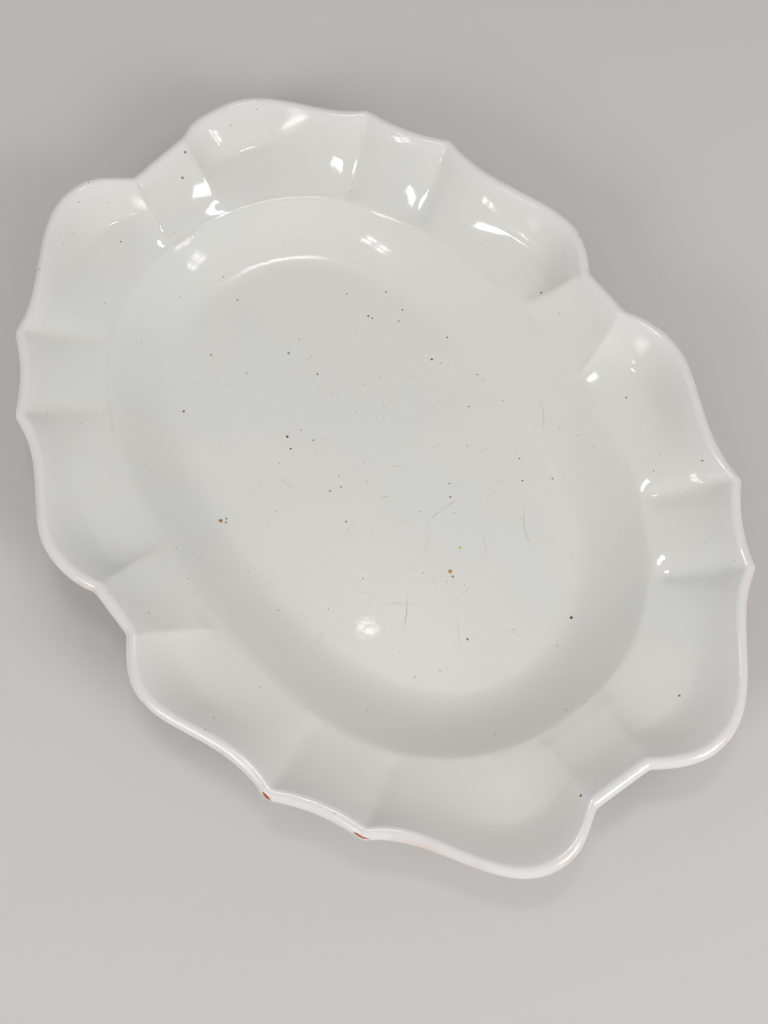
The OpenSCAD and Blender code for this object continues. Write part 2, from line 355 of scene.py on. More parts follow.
lip_line = softened_lip(LIP_SOFTNESS)
cusp_share = bell(gap_to(CUSPS, station_run), CUSP_REACH)[:, None]
rim_line = lip_line + (softened_lip(CUSP_SOFTNESS) - lip_line) * cusp_share
panel_dip = at_stations(softened(fine_dip, RIDGE_SOFTNESS))

fine_crease = np.zeros(len(fine_lip))
for i in CUSPS:
    groove = CUSP_GROOVE * WORN_GROOVES.get(i, 1)
    fine_crease += groove * bell(gap_to([i], fine_run[:-1]), GROOVE_REACH)
fine_crease -= NOTCH_CREST * np.exp(-gap_to(NOTCHES, fine_run[:-1]) / CREST_REACH)
crease = at_stations(softened(fine_crease, RIDGE_SOFTNESS))
notch_gap = gap_to(NOTCHES, station_run)
# Partly real stain, partly painted shade: tan darkening along the grooves of the two worn cusps.
stain_and_painted_shade = bell(gap_to(CUSPS_WITH_STAIN_AND_SHADE, station_run), STAIN_AND_SHADE_REACH)
print("Highest crest, mm:", round(-crease.min() / MM, 2), "deepest groove:", round(crease.max() / MM, 2))

# %% [markdown]
# ## Floor, well and shoulder
# The well is an oval, a little fuller than an ellipse. Several arcs could draw it, but a superellipse does
# it with a single power. Its edge, the shoulder, is crisp for most of the way round and softer on one
# side, so each station has its own blend there.

# %% Floor, well and shoulder at the stations
OVAL_POWER = 2.3
CRISP_SHOULDER = 2.5 * MM
SOFT_SHOULDER = 7 * MM
SOFT_ANGLE = math.radians(255)
SOFT_REACH = math.radians(30)
CRISP_REACH = math.radians(75)


def oval(half, angle):
    """Points of the well's oval shape with the given half axes."""
    direction = np.stack([np.cos(angle), np.sin(angle)], axis=1)
    total = np.sum((np.abs(direction) / half) ** OVAL_POWER, axis=1, keepdims=True)
    return direction / total ** (1 / OVAL_POWER)


well_line = oval(WELL_HALF, station_angle)
floor_line = oval(FLOOR_HALF, station_angle)
from_soft = np.arccos(np.cos(station_angle - SOFT_ANGLE))
softening = eased((CRISP_REACH - from_soft) / (CRISP_REACH - SOFT_REACH))
shoulder = CRISP_SHOULDER + (SOFT_SHOULDER - CRISP_SHOULDER) * softening
print("Stations with the soft shoulder:", np.count_nonzero(softening == 1), "of", AROUND)

# %% [markdown]
# ## Node trees as formulas
# The dish follows one rule all the way round, so a Geometry Nodes tree shapes it. Placing dozens of Math
# nodes by hand hides the rule, so this small helper lets a formula be written in plain Python: each sum
# or product adds one node to the tree and links it.

# %% A helper that turns formulas into nodes
class Field:
    """The value on one socket of a node tree."""

    def __init__(self, socket):
        self.socket = socket
        self.tree = socket.id_data
        self.is_vector = socket.type == "VECTOR"

    def __add__(self, other):
        return maths("ADD", self, other)

    def __sub__(self, other):
        return maths("SUBTRACT", self, other)

    def __rsub__(self, other):
        return maths("SUBTRACT", other, self)

    def __mul__(self, other):
        return maths("MULTIPLY", self, other)

    def __truediv__(self, other):
        return maths("DIVIDE", self, other)

    def __pow__(self, other):
        return maths("POWER", self, other)

    __rmul__ = __mul__


def plug(value, socket):
    """Links a field to a socket, or sets a plain value on it."""
    if isinstance(value, Field):
        socket.id_data.links.new(value.socket, socket)
    else:
        socket.default_value = value


def maths(operation, *values):
    """One Math or Vector Math node. A vector times a number is a scaling."""
    fields = [value for value in values if isinstance(value, Field)]
    vectors = [field for field in fields if field.is_vector]
    numbers = [value for value in values if value not in vectors]
    node = fields[0].tree.nodes.new("ShaderNodeVectorMath" if vectors else "ShaderNodeMath")
    if operation == "MULTIPLY" and vectors and numbers:
        node.operation = "SCALE"
        plug(vectors[0], node.inputs[0])
        plug(numbers[0], node.inputs["Scale"])
    else:
        node.operation = operation
        for value, socket in zip(values, node.inputs):
            plug(value, socket)
    return Field(node.outputs["Vector" if vectors and operation != "LENGTH" else "Value"])


print("Formulas may use + - * / and **, or name an operation of the Math nodes")

# %% Trees with named inputs
PIECE_INPUTS = {"Geometry": "Geometry", "Finish": "Material"}
PIECE_OUTPUTS = {"Geometry": "Geometry"}
STATION_LINES = {"Lip": "lip_line", "Rim": "rim_line", "Well": "well_line", "Floor": "floor_line"}
STATION_NUMBERS = {"Dip": "panel_dip", "Crease": "crease", "Shoulder": "shoulder"}
SECTION_SIZES = [
    "Rim rise", "Wall run", "Wall height", "Floor blend", "Floor level", "Floor dome", "Lip radius"]


def add_node(tree, kind, output=0, settings=None, **inputs):
    """Adds a node, fills its inputs by name and returns one output as a field."""
    node = tree.nodes.new(kind)
    for key, value in (settings or {}).items():
        setattr(node, key, value)
    for name, value in inputs.items():
        plug(value, node.inputs[name.replace("_", " ")])
    return Field(node.outputs[output])


def new_tree(name, inputs, outputs):
    """An empty node tree with named inputs, and its inputs as fields."""
    tree = bpy.data.node_groups.new(name, "GeometryNodeTree")
    for label, kind in inputs.items():
        tree.interface.new_socket(label, in_out="INPUT", socket_type="NodeSocket" + kind)
    for label, kind in outputs.items():
        tree.interface.new_socket(label, in_out="OUTPUT", socket_type="NodeSocket" + kind)
    entry = tree.nodes.new("NodeGroupInput")
    tree.nodes.new("NodeGroupOutput")
    return tree, {label: Field(entry.outputs[label]) for label in inputs}


def finish_tree(tree, **outputs):
    """Links the results of a tree to its outputs."""
    exit_node = next(node for node in tree.nodes if node.type == "GROUP_OUTPUT")
    for label, value in outputs.items():
        plug(value, exit_node.inputs[label])
    print("Tree", tree.name, "has", len(tree.nodes), "nodes")


def finish_piece(tree, geometry, finish):
    """Ends the tree of a piece: real, smoothly shaded geometry with its finish."""
    real = add_node(tree, "GeometryNodeRealizeInstances", Geometry=geometry)
    smooth = add_node(tree, "GeometryNodeSetShadeSmooth", Geometry=real)
    finish_tree(tree, Geometry=add_node(tree, "GeometryNodeSetMaterial", Geometry=smooth, Material=finish))


front_group, io = new_tree(
    "platter_front",
    {**dict.fromkeys(STATION_LINES, "Vector"),
     **dict.fromkeys(["Place", *STATION_NUMBERS, *SECTION_SIZES], "Float")},
    {"Point": "Vector"})
print("Inputs of", front_group.name + ":", ", ".join(io))

# %% [markdown]
# ## The section of the dish
# Along one station, the front starts at the middle of the floor, climbs the wall of the well on a curve
# and crosses the rim to the lip. A place of -1 is the middle of the floor, 0 its edge, 1 the edge of the
# well and 2 the crest of the lip. Clamping the place to each stretch makes one formula serve them all.

# %% The front of the dish as a node group
LIP_START = math.radians(120)
CUSP_BLEND_FROM = 0.6
COVE_START = 0.58
COVE_POWER = 3
BOWL_AT = 0.62
BOWL_POWER = 2
CREASE_FULL_FROM = 0.22
CREASE_FULL_TO = 0.75


def smooth_step(value, start, end):
    """0 before start, 1 after end, and an S-shaped rise between them."""
    return add_node(value.tree, "ShaderNodeMapRange", settings={"interpolation_type": "SMOOTHSTEP"},
                    Value=value, From_Min=start, From_Max=end)


def clamped(value):
    """A number kept between 0 and 1."""
    return add_node(value.tree, "ShaderNodeClamp", Value=value)


def joined(tree, x, y, z):
    """A vector from three numbers."""
    return add_node(tree, "ShaderNodeCombineXYZ", X=x, Y=y, Z=z)


outward = maths("NORMALIZE", io["Lip"] - io["Well"])
over_floor = clamped(io["Place"] + 1)
up_wall = clamped(io["Place"])
across_rim = clamped(io["Place"] - 1)
edge = io["Rim"] + (io["Lip"] - io["Rim"]) * smooth_step(across_rim, CUSP_BLEND_FROM, 1)
rim_span = edge - outward * (io["Lip radius"] * (1 - math.cos(LIP_START))) - io["Well"]

rim_slope = io["Rim rise"] * COVE_START / maths("LENGTH", rim_span)
pull = io["Shoulder"] / maths("SQRT", rim_slope * rim_slope + 1)
still_to_climb = 1 - up_wall
second = 3 * still_to_climb * still_to_climb * up_wall
third = 3 * still_to_climb * up_wall * up_wall
fourth = up_wall**3
wall_x = second * io["Floor blend"] + third * (io["Wall run"] - pull) + fourth * io["Wall run"]
wall_z = third * (io["Wall height"] - pull * rim_slope) + fourth * io["Wall height"]

cove = across_rim * COVE_START + across_rim**COVE_POWER * (1 - COVE_START)
to_bowl = maths("MINIMUM", across_rim * (1 / BOWL_AT), 1)
hollow = to_bowl**BOWL_POWER * (1 - smooth_step(across_rim, BOWL_AT, 1))
creased = smooth_step(across_rim, 0, CREASE_FULL_FROM) * (1 - smooth_step(across_rim, CREASE_FULL_TO, 1))
panel_level = wall_z + io["Rim rise"] * cove - io["Dip"] * hollow - io["Crease"] * creased
dome = io["Floor dome"] * (1 - over_floor * over_floor) ** 2
level = io["Floor level"] + dome + panel_level
flat = (io["Floor"] + (io["Well"] - io["Floor"]) * (wall_x / io["Wall run"])) * over_floor
finish_tree(front_group, Point=flat + rim_span * across_rim + joined(front_group, 0, 0, level))

# %% [markdown]
# ## One tree for three skins
# The clay, the front glaze and the back glaze are the same dish at different depths. Each vertex of a
# base mesh carries its place, its depth below the front and, round the lip, its turn. The tree asks the
# group for the front a little ahead and a little behind, which gives the direction square to it, and sinks
# the point by its depth. A slow noise then moves all skins together, as a hand-pressed slab is never true.

# %% What the skin tree reads
def carried(tree, name, kind="FLOAT"):
    """An attribute that the base mesh carries."""
    return add_node(tree, "GeometryNodeInputNamedAttribute", settings={"data_type": kind}, Name=name)


skin_tree, io = new_tree(
    "platter_skin",
    {**PIECE_INPUTS, **dict.fromkeys([*SECTION_SIZES, "Lip height", "Wobble", "Wobble scale"], "Float")},
    PIECE_OUTPUTS)
section = {size: io[size] for size in SECTION_SIZES}
for label, name in STATION_LINES.items():
    section[label] = carried(skin_tree, name, "FLOAT_VECTOR")
for label, name in STATION_NUMBERS.items():
    section[label] = carried(skin_tree, name)


def front_at(place):
    """The point of the front at a place along the station."""
    node = skin_tree.nodes.new("GeometryNodeGroup")
    node.node_tree = front_group
    for label, value in {**section, "Place": place}.items():
        plug(value, node.inputs[label])
    return Field(node.outputs["Point"])


print("Inputs of", skin_tree.name + ":", ", ".join(io))

# %% The shape of a skin
SAMPLE = 0.01
SHARP_BEND = math.radians(50)
NOISE_MEAN = (0.5, 0.5, 0.5)


def split(vector):
    """The three numbers of a vector or colour."""
    node = vector.tree.nodes.new("ShaderNodeSeparateXYZ")
    plug(vector, node.inputs[0])
    return [Field(socket) for socket in node.outputs]


place = carried(skin_tree, "place")
depth = carried(skin_tree, "depth")
turn = carried(skin_tree, "turn")
front_point = front_at(place)
slope_x, slope_y, slope_z = split(front_at(place + SAMPLE) - front_at(place - SAMPLE))
level_run = maths("SQRT", slope_x * slope_x + slope_y * slope_y)
lean = slope_z / level_run * -1
square_up = maths("NORMALIZE", joined(skin_tree, slope_x * lean, slope_y * lean, level_run))
sunk = front_point - square_up * depth

lip_radius = io["Lip radius"] - depth
lip_out = maths("NORMALIZE", section["Lip"] - section["Well"])
lip_level = io["Lip height"] - io["Lip radius"] + lip_radius * maths("SINE", turn)
lip_reach = lip_radius * maths("COSINE", turn) - io["Lip radius"]
rounded = section["Lip"] + lip_out * lip_reach + joined(skin_tree, 0, 0, lip_level)

shaped = sunk + (rounded - sunk) * carried(skin_tree, "on_lip")
drift = add_node(skin_tree, "ShaderNodeTexNoise", output="Color", Vector=front_point,
                 Scale=io["Wobble scale"], Detail=3, Roughness=0.35)
drift = joined(skin_tree, *split(drift)) - joined(skin_tree, *NOISE_MEAN)
placed = add_node(skin_tree, "GeometryNodeSetPosition", Geometry=io["Geometry"],
                  Position=shaped + drift * io["Wobble"])
bend = add_node(skin_tree, "GeometryNodeInputMeshEdgeAngle", output="Unsigned Angle")
creased = add_node(skin_tree, "GeometryNodeSetShadeSmooth", settings={"domain": "EDGE"}, Geometry=placed,
                   Selection=maths("GREATER_THAN", bend, SHARP_BEND), Shade_Smooth=False)
finish_piece(skin_tree, creased, io["Finish"])

# %% [markdown]
# ## Clay
# The body is a coarse reddish earthenware, paler and dirtier where the foot has rubbed on shelves. A
# photograph of clay could colour it, but it would have a fixed scale and seams. Noise on Object
# coordinates has neither, and stays on the clay from every side.

# %% Clay finishes
TERRACOTTA = (0.50, 0.17, 0.07, 1)
PALE_CLAY = (0.62, 0.30, 0.16, 1)
DARK_CLAY = (0.23, 0.085, 0.04, 1)
GRAIN_HEIGHT = 0.4 * MM


def start_finish(name, **sockets):
    """A material with its shader's plain sockets set, and its Object coordinates."""
    material = bpy.data.materials.new(name)
    material.use_nodes = True
    tree = material.node_tree
    shader = tree.nodes["Principled BSDF"]
    for label, value in sockets.items():
        shader.inputs[label].default_value = value
    here = add_node(tree, "ShaderNodeTexCoord", output="Object")
    return material, tree, shader, here


def mottle(here, scale, detail=3.0):
    """Smooth noise from 0 to 1 over the piece."""
    return add_node(here.tree, "ShaderNodeTexNoise", output="Fac", Vector=here, Scale=scale, Detail=detail)


def mixed(share, first, second):
    """One colour blended into another. A Mix node keeps its colours at sockets 6 and 7, and 2 going out."""
    node = share.tree.nodes.new("ShaderNodeMix")
    node.data_type = "RGBA"
    for value, index in ((share, 0), (first, 6), (second, 7)):
        plug(value, node.inputs[index])
    return Field(node.outputs[2])


def bumped(height, strength, distance):
    """The normal of a surface with fine relief."""
    return add_node(height.tree, "ShaderNodeBump", output="Normal", Height=height, Strength=strength,
                    Distance=distance)


def clay_finish(name, pale_share, dirt_share):
    """Fired clay with paler patches, dirt and a rough grain."""
    material, tree, shader, here = start_finish(name, Roughness=0.85)
    dirt = smooth_step(mottle(here, scale=240, detail=5), 0.52, 0.72)
    colour = mixed(mottle(here, scale=60) * pale_share, TERRACOTTA, PALE_CLAY)
    plug(mixed(dirt * dirt_share, colour, DARK_CLAY), shader.inputs["Base Color"])
    plug(bumped(mottle(here, scale=900, detail=4), 0.5, GRAIN_HEIGHT), shader.inputs["Normal"])
    return material


TERRACOTTA_FINISH = clay_finish("terracotta_body", pale_share=0.5, dirt_share=0.5)
BARE_FOOT_FINISH = clay_finish("worn_foot_clay", pale_share=0.9, dirt_share=0.7)
print("Clay finishes:", TERRACOTTA_FINISH.name, BARE_FOOT_FINISH.name)

# %% [markdown]
# ## Glaze
# The glaze is a thick, glossy white. It runs thin at the outer edge, where the clay warms it, and has
# gathered tan in the seams at the notches and at the edge of the well. Painted textures could show this,
# but attributes on the mesh tell the material where these places are, so the colour follows the shape.
# Use has dulled the floor of the well. One ragged spot on it kept most of its shine.

# %% Colours of the glaze
COOL_WHITE = (0.735, 0.735, 0.705, 1)
WARM_WHITE = (0.76, 0.745, 0.70, 1)
LIP_WHITE = (0.785, 0.772, 0.765, 1)
SEAM_TAN = (0.66, 0.60, 0.49, 1)
THIN_PINK = (0.74, 0.50, 0.40, 1)
LIP_SHARE = 0.8
WELL_SEAM_SHARE = 0.7
SEAM_SHARE = 0.5
STAIN_AND_SHADE_SHARE = 0.3


def marked(tree, name):
    """A mesh attribute, read by a material."""
    return add_node(tree, "ShaderNodeAttribute", output="Fac", settings={"attribute_name": name})


def glaze_colour(tree, here, blotch, thin_share):
    """Cloudy white, whiter at the lip, tan in seams, stain with painted shade at two cusps, and pink where
    it runs thin.
    """
    clouds = mottle(here, scale=12)
    colour = mixed(smooth_step(clouds, 0.35, 0.65), COOL_WHITE, WARM_WHITE)
    colour = mixed(marked(tree, "lip_near") * LIP_SHARE, colour, LIP_WHITE)
    seams = maths("MAXIMUM", marked(tree, "ridge_near"), marked(tree, "well_near") * WELL_SEAM_SHARE)
    colour = mixed(seams * smooth_step(blotch, 0.4, 0.65) * SEAM_SHARE, colour, SEAM_TAN)
    # Tan painted at two worn cusps, partly real stain and partly painted shade along their grooves.
    colour = mixed(marked(tree, "stain_and_painted_shade") * smooth_step(blotch, 0.3, 0.7) * STAIN_AND_SHADE_SHARE, colour, SEAM_TAN)
    thin = marked(tree, "edge_near") * smooth_step(mottle(here, scale=70, detail=5), 0.5, 0.72)
    return mixed(thin * thin_share, colour, THIN_PINK)


print("Whites of the glaze:", COOL_WHITE[:3], WARM_WHITE[:3], LIP_WHITE[:3])

# %% Glaze finishes
SHINY_SPOT = (57.7 * MM, -42.2 * MM, 11.8 * MM)
SPOT_EDGE = (1 * MM, 6.5 * MM)
SPOT_WANDER = 8 * MM
SPOT_WEAR = 0.2
BEST_ROUGHNESS = 0.05
BLOTCH_ROUGHNESS = 0.06
WEAR_ROUGHNESS = 0.12
FULL_SHINE = 0.5
LOST_SHINE = 0.44
RIPPLE_SHARE = 0.1
WEAR_SHARE = 0.9
RIPPLE_HEIGHT = 0.1 * MM


def floor_wear(tree, here):
    """How far use has dulled the glaze, with the ragged shiny spot left out of it."""
    from_spot = maths("LENGTH", here - joined(tree, *SHINY_SPOT))
    from_spot = from_spot + (mottle(here, scale=300) - 0.5) * SPOT_WANDER
    return marked(tree, "worn") * (smooth_step(from_spot, *SPOT_EDGE) * (1 - SPOT_WEAR) + SPOT_WEAR)


def glaze_finish(name, thin_share):
    """A glossy tin glaze with faint ripples, rougher and less of a mirror where it is worn."""
    material, tree, shader, here = start_finish(name, IOR=1.5)
    blotch = mottle(here, scale=45, detail=4)
    worn = floor_wear(tree, here)
    roughness = smooth_step(blotch, 0.2, 0.9) * BLOTCH_ROUGHNESS + worn * WEAR_ROUGHNESS + BEST_ROUGHNESS
    ripples = mottle(here, scale=380, detail=2) * RIPPLE_SHARE
    scuffs = mottle(here, scale=260) * marked(tree, "worn") * WEAR_SHARE
    plug(glaze_colour(tree, here, blotch, thin_share), shader.inputs["Base Color"])
    plug(roughness, shader.inputs["Roughness"])
    plug(FULL_SHINE - worn * LOST_SHINE, shader.inputs["Specular IOR Level"])
    plug(bumped(ripples + scuffs, 1.0, RIPPLE_HEIGHT), shader.inputs["Normal"])
    return material


FRONT_GLAZE_FINISH = glaze_finish("front_tin_glaze", thin_share=0.55)
BACK_GLAZE_FINISH = glaze_finish("back_tin_glaze", thin_share=0.8)
print("Glaze finishes:", FRONT_GLAZE_FINISH.name, BACK_GLAZE_FINISH.name)

# %% [markdown]
# ## Rings of the skins
# A skin is a pile of rings, one vertex per station on each: the front glaze runs over the front of the
# dish to the outermost line of the lip and back along the clay. Solidify could thicken one surface, but it
# would leave no say in where the glaze ends. The clay below needs only every other ring of the front.

# %% Piles of rings
FLOOR_PLACES = [-1, -0.86, -0.72, -0.58, -0.44, -0.30, -0.18, -0.09, -0.03]
WALL_PLACES = list(np.linspace(0, 1, 23)[:-1])
RIM_PLACES = [*np.linspace(1, 1.86, 33), *np.linspace(1.875, 2, 12)]
FRONT_PLACES = FLOOR_PLACES + WALL_PLACES + RIM_PLACES
FRONT_TURNS = np.radians([112, 104, 97, 90, 83, 76, 68, 57, 46, 35, 23, 11, 0])
BACK_TURNS = np.radians([-12, -26, -42, -58, -74, -90])
BACK_PLACES = list(np.linspace(1.82, 0, 34))


def ring(place, depth=0.0, turn=None, line=None):
    """A ring at a place and depth. It may have a turn round the lip, or a line of its own for the floor."""
    return dict(place=place, depth=depth, turn=turn, line=floor_line if line is None else line)


def lip_rings(turns, depth=0.0):
    """Rings round the lip."""
    return [ring(2, depth, turn) for turn in turns]


def clay_at(place):
    """How thick the clay is at a place."""
    return FLOOR_CLAY + (RIM_CLAY - FLOOR_CLAY) * min(max(place, 0), 1)


base_depth = GLAZE + FLOOR_CLAY
foot_outside = oval(FLOOR_HALF - FOOT_INSET, station_angle)
foot_inside = oval(FLOOR_HALF - FOOT_INSET - FOOT_WIDTH, station_angle)
clay_front = [ring(place, GLAZE) for place in FRONT_PLACES]
clay_front = clay_front[::2] + clay_front[-1:]
clay_back = [ring(place, GLAZE + clay_at(place)) for place in BACK_PLACES]
clay_pile = clay_front + lip_rings([*FRONT_TURNS, *BACK_TURNS], GLAZE) + clay_back + [ring(-1, base_depth)]

glaze_outside = [ring(place) for place in FRONT_PLACES] + lip_rings(FRONT_TURNS)
glaze_inside = clay_front + lip_rings(FRONT_TURNS, GLAZE)
front_pile = glaze_outside + glaze_inside[::-1]

skirt_outside = lip_rings([0, *BACK_TURNS])
skirt_outside += [ring(place, 2 * GLAZE + clay_at(place)) for place in BACK_PLACES]
skirt_outside += [ring(0, base_depth + GLAZE, line=foot_outside)]
skirt_inside = lip_rings([0, *BACK_TURNS], GLAZE) + clay_back + [ring(0, base_depth, line=foot_outside)]
skirt_pile = skirt_outside + skirt_inside[::-1]
base_disc = [ring(-1, base_depth), ring(0, base_depth, line=foot_inside)]
base_disc += [ring(0, base_depth + GLAZE, line=foot_inside), ring(-1, base_depth + GLAZE)]
print("Rings: clay", len(clay_pile), "front glaze", len(front_pile), "back glaze", len(skirt_pile))

# %% [markdown]
# ## Base meshes for the skins
# A base mesh has no shape of its own yet: the tree reads the attributes and puts every vertex in its
# place. Other attributes are for the glaze alone. A ring at the middle is a single vertex, so the pole is
# closed, and the winding is the same from the floor over the lip to the back.

# %% Attributes of a ring
RIDGE_BLUR = 1.3 * MM
WELL_BLUR = 0.035
RIM_FROM, RIM_FULL = 1, 1.25
LIP_FROM, LIP_FULL = 1.86, 1.96
WEAR_FULL, WEAR_END = 0.02, 0.22
RIDGE_ON_LIP = 0.4


def ramp(value, start, end):
    """A straight rise from 0 at the start to 1 at the end."""
    return float(np.clip((value - start) / (end - start), 0, 1))


def ring_values(this):
    """The attributes of one ring's vertices."""
    place, turn = this["place"], this["turn"]
    count = 1 if place <= -1 else AROUND
    on_lip = turn is not None
    rim_share = ramp(place, RIM_FROM, RIM_FULL) * (RIDGE_ON_LIP if on_lip else 1)
    flat = np.zeros(count)
    return {
        "lip_line": lip_line[:count], "rim_line": rim_line[:count],
        "well_line": well_line[:count], "floor_line": this["line"][:count],
        "panel_dip": panel_dip[:count], "crease": crease[:count], "shoulder": shoulder[:count],
        "place": flat + place, "depth": flat + this["depth"],
        "turn": flat + (turn if on_lip else 0), "on_lip": flat + on_lip,
        "ridge_near": bell(notch_gap[:count], RIDGE_BLUR) * rim_share,
        "well_near": flat + bell(place - 1, WELL_BLUR),
        "lip_near": flat + (1 if on_lip else ramp(place, LIP_FROM, LIP_FULL)),
        "edge_near": flat + (math.cos(turn) if on_lip else 0),
        "worn": flat + ramp(place, WEAR_END, WEAR_FULL),
        "stain_and_painted_shade": stain_and_painted_shade[:count] * rim_share,
    }


print("Attributes of a vertex:", ", ".join(ring_values(ring(-1))))

# %% Base meshes
def band_faces(first, second, start, end):
    """Faces between two rings, whose vertices start at the given numbers."""
    k = np.arange(AROUND)
    after = (k + 1) % AROUND
    if first["place"] <= -1:
        return np.stack([0 * k + start, end + k, end + after], axis=1).tolist()
    if second["place"] <= -1:
        return np.stack([start + k, 0 * k + end, start + after], axis=1).tolist()
    return np.stack([start + k, end + k, end + after, start + after], axis=1).tolist()


def base_mesh(name, *piles):
    """A mesh from piles of rings. A looped pile joins its last ring to its first."""
    columns, faces, count = {}, [], 0
    for rings, looped in piles:
        starts = []
        for this in rings:
            starts.append(count)
            values = ring_values(this)
            count += len(values["place"])
            for label, column in values.items():
                columns.setdefault(label, []).append(column)
        for a in range(len(rings) if looped else len(rings) - 1):
            b = (a + 1) % len(rings)
            faces += band_faces(rings[a], rings[b], starts[a], starts[b])
    mesh = bpy.data.meshes.new(name)
    mesh.from_pydata(np.zeros((count, 3)).tolist(), [], faces)
    for label, parts in columns.items():
        values = np.concatenate(parts)
        vector = values.ndim == 2
        store = mesh.attributes.new(label, "FLOAT_VECTOR" if vector else "FLOAT", "POINT")
        if vector:
            values = np.column_stack([values, np.zeros(count)])
        store.data.foreach_set("vector" if vector else "value", values.astype(np.float32).ravel())
    print(name, "has", count, "vertices and", len(faces), "faces")
    return mesh


clay_base = base_mesh("pressed_clay_body_base", (clay_pile, False))
front_base = base_mesh("front_glaze_coat_base", (front_pile, False))
back_base = base_mesh("back_glaze_coat_base", (skirt_pile, True), (base_disc, False))

# %% [markdown]
# ## Growing a piece from its tree
# A modifier's inputs are set through each socket's identifier before anything is evaluated. The result is
# then turned into a plain mesh and the modifier goes away, so the piece is ordinary geometry.

# %% Skins
CREST_DROP = LIP_RADIUS * (1 - math.sin(LIP_START))
SKIN_SIZES = {
    "Rim rise": RIM_RISE - CREST_DROP, "Wall run": WALL_RUN, "Wall height": WELL_LEVEL - FLOOR_LEVEL,
    "Floor blend": FLOOR_BLEND, "Floor level": FLOOR_LEVEL, "Floor dome": FLOOR_DOME,
    "Lip radius": LIP_RADIUS, "Lip height": HEIGHT, "Wobble": 0.9 * MM, "Wobble scale": 15.0,
}


def settle(piece):
    """Turns a piece's modifiers into plain geometry."""
    graph = bpy.context.evaluated_depsgraph_get()
    plain = bpy.data.meshes.new_from_object(
        piece.evaluated_get(graph), preserve_all_data_layers=True, depsgraph=graph)
    piece.modifiers.clear()
    piece.data = plain


def added(name, data):
    """A new object in the scene."""
    thing = bpy.data.objects.new(name, data)
    bpy.context.scene.collection.objects.link(thing)
    return thing


def grow(name, mesh, tree, settings):
    """An object whose mesh is shaped by a node tree."""
    piece = added(name, mesh)
    modifier = piece.modifiers.new(tree.name, "NODES")
    modifier.node_group = tree
    for item in tree.interface.items_tree:
        if item.in_out == "INPUT" and item.name in settings:
            modifier[item.identifier] = settings[item.name]
    settle(piece)
    box = np.round(np.array(piece.dimensions) / MM, 1)
    print(name, "has", len(piece.data.polygons), "faces, box mm:", box)
    return piece


clay = grow("pressed_clay_body", clay_base, skin_tree, {**SKIN_SIZES, "Finish": TERRACOTTA_FINISH})
front = grow("front_glaze_coat", front_base, skin_tree, {**SKIN_SIZES, "Finish": FRONT_GLAZE_FINISH})
back = grow("back_glaze_coat", back_base, skin_tree, {**SKIN_SIZES, "Finish": BACK_GLAZE_FINISH})

# %% [markdown]
# ## The foot
# The dish stands on a low ring of clay, wiped clean of glaze so that it wouldn't stick in the kiln. A
# sweep is the natural way to make it: a rounded strip follows an oval. Mesh to Curve turns a loop of
# edges into the path, and its normals are kept upright so that the strip never twists.

# %% Foot ring
FOOT_ROUND = 1.3 * MM
FOOT_BITE = 0.7 * MM
FOOT_WEAR = 0.35 * MM
FOOT_STEPS = 200
ROUND_STEPS = 6


def line_mesh(name, points, level, edges, **values):
    """A mesh of points and edges at a level, with a number of each kind for every point."""
    mesh = bpy.data.meshes.new(name)
    mesh.from_pydata([(x, y, level) for x, y in points], edges, [])
    for label, column in values.items():
        mesh.attributes.new(label, "FLOAT", "POINT").data.foreach_set("value", column)
    return mesh


foot_tree, io = new_tree(
    "swept_foot", {**PIECE_INPUTS, **dict.fromkeys(["Width", "Depth", "Round", "Wear"], "Float")},
    PIECE_OUTPUTS)
path = add_node(foot_tree, "GeometryNodeMeshToCurve", Mesh=io["Geometry"])
path = add_node(foot_tree, "GeometryNodeSetCurveNormal", settings={"mode": "Z_UP"}, Curve=path)
strip = add_node(foot_tree, "GeometryNodeCurvePrimitiveQuadrilateral",
                 Width=io["Width"], Height=io["Depth"])
strip = add_node(foot_tree, "GeometryNodeFilletCurve", settings={"mode": "POLY"}, Curve=strip,
                 Count=ROUND_STEPS, Radius=io["Round"])
swept = add_node(foot_tree, "GeometryNodeCurveToMesh", Curve=path, Profile_Curve=strip)
wear = add_node(foot_tree, "ShaderNodeTexNoise", output="Fac", Scale=60, Detail=3)
inward = add_node(foot_tree, "GeometryNodeInputNormal") * ((wear - 1) * io["Wear"])
worn = add_node(foot_tree, "GeometryNodeSetPosition", Geometry=swept, Offset=inward)
finish_piece(foot_tree, worn, io["Finish"])

foot_depth = FOOT_HEIGHT + FOOT_BITE
foot_line = oval(FLOOR_HALF - FOOT_INSET - FOOT_WIDTH / 2, np.linspace(0, 2 * math.pi, FOOT_STEPS + 1)[:-1])
foot_loop = [(k, (k + 1) % FOOT_STEPS) for k in range(FOOT_STEPS)]
foot = grow("bare_foot_ring", line_mesh("foot_base", foot_line, foot_depth / 2, foot_loop), foot_tree, {
    "Width": FOOT_WIDTH, "Depth": foot_depth, "Round": FOOT_ROUND, "Wear": FOOT_WEAR,
    "Finish": BARE_FOOT_FINISH})

# %% [markdown]
# ## Chips
# Two hundred years of knocks took flakes off the lip, most of them at the points of the diagonals. A flake
# leaves a shallow shell-shaped scar, so each cutter is a lumpy flattened ball laid against the lip, and one
# Boolean takes all of them out of the glaze and a little out of the clay below, which shows red.

